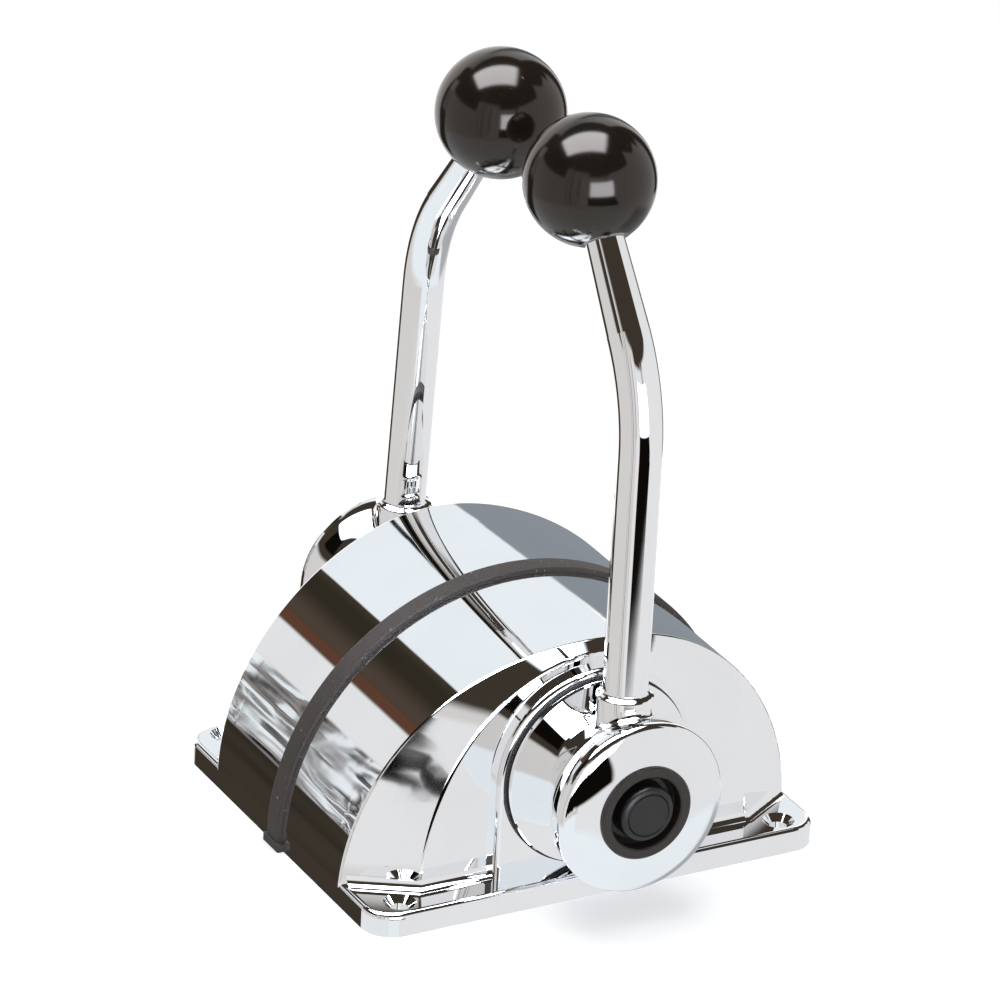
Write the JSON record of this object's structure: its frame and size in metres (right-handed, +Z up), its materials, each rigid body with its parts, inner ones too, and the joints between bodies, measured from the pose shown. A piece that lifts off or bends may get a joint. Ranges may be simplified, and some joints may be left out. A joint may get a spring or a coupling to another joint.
{
  "type": "boat throttle control lever",
  "caption": "Twin-lever top-mount engine control for a boat: chromed dome, bent chromed levers with black ball knobs, push buttons and cable arms inside.",
  "frame": {"origin": "centre of the flat mounting face, at the middle of the bottom of the bounding box", "axes": "+X ahead (the way the levers are pushed for ahead), +Y to port along the lever axis, +Z up out of the console"},
  "size_m": [0.1776, 0.2056, 0.2676],
  "materials": {
    "chrome": "mirror-polished chrome plate",
    "knob_plastic": "glossy black",
    "black_plastic": "satin black",
    "trim_rubber": "matt black",
    "seal_rubber": "matt black",
    "steel": "machined stainless steel",
    "spring_steel": "drawn wire",
    "bronze": "machined bronze",
    "nylon": "natural nylon"
  },
  "bodies": {
    "base": {"centre_trim": "trim_rubber", "tie_screws": "steel", "tie_nuts": "steel", "starboard_housing": "chrome", "starboard_shaft_bushing": "bronze", "starboard_hub_seal": "seal_rubber", "starboard_detent_plunger": "steel", "starboard_detent_ball": "steel", "starboard_detent_spring": "spring_steel", "starboard_friction_pad": "nylon", "starboard_friction_screw": "steel", "starboard_thrust_washer": "steel", "port_housing": "chrome", "port_shaft_bushing": "bronze", "port_hub_seal": "seal_rubber", "port_detent_plunger": "steel", "port_detent_ball": "steel", "port_detent_spring": "spring_steel", "port_friction_pad": "nylon", "port_friction_screw": "steel", "port_thrust_washer": "steel"},
    "starboard_lever": {"starboard_drive_shaft": "steel", "starboard_shaft_nut": "steel", "starboard_throttle_arm": "steel", "starboard_lever_hub": "chrome", "starboard_hub_nut": "steel", "starboard_hub_bezel": "black_plastic", "starboard_lever_arm": "chrome", "starboard_ball_knob": "knob_plastic", "starboard_knob_stud": "steel", "starboard_button_spring": "spring_steel"},
    "starboard_button": {"starboard_button_cap": "black_plastic", "starboard_button_rod": "steel", "starboard_clutch_pin": "steel"},
    "starboard_shift_arm": {"starboard_shift_arm": "steel"},
    "port_lever": {"port_drive_shaft": "steel", "port_shaft_nut": "steel", "port_throttle_arm": "steel", "port_lever_hub": "chrome", "port_hub_nut": "steel", "port_hub_bezel": "black_plastic", "port_lever_arm": "chrome", "port_ball_knob": "knob_plastic", "port_knob_stud": "steel", "port_button_spring": "spring_steel"},
    "port_button": {"port_button_cap": "black_plastic", "port_button_rod": "steel", "port_clutch_pin": "steel"},
    "port_shift_arm": {"port_shift_arm": "steel"}
  },
  "joints": [
    {"name": "starboard_lever_swing", "type": "hinge", "parent": "base", "child": "starboard_lever", "pos_m": [0, -0.05475, 0.0435], "axis": [0, 1, 0], "range_deg": [-75, 85]},
    {"name": "starboard_button_press", "type": "slide", "parent": "starboard_lever", "child": "starboard_button", "axis": [0, 1, 0], "range_m": [0, 0.0035], "stiffness_N_per_m": 900, "springref_m": -0.002, "deforming": ["starboard_button_spring"]},
    {"name": "starboard_shift_turn", "type": "hinge", "parent": "base", "child": "starboard_shift_arm", "pos_m": [0, -0.0416, 0.0435], "axis": [0, 1, 0], "range_deg": [-76, 86]},
    {"name": "port_lever_swing", "type": "hinge", "parent": "base", "child": "port_lever", "pos_m": [0, 0.05475, 0.0435], "axis": [0, 1, 0], "range_deg": [-75, 85]},
    {"name": "port_button_press", "type": "slide", "parent": "port_lever", "child": "port_button", "axis": [0, -1, 0], "range_m": [0, 0.0035], "stiffness_N_per_m": 900, "springref_m": -0.002, "deforming": ["port_button_spring"]},
    {"name": "port_shift_turn", "type": "hinge", "parent": "base", "child": "port_shift_arm", "pos_m": [0, 0.0416, 0.0435], "axis": [0, 1, 0], "range_deg": [-76, 86]}
  ],
  "couplings": [
    {"joint": "starboard_shift_turn", "follows": "starboard_lever_swing", "ratio": 1},
    {"joint": "port_shift_turn", "follows": "port_lever_swing", "ratio": 1}
  ]
}
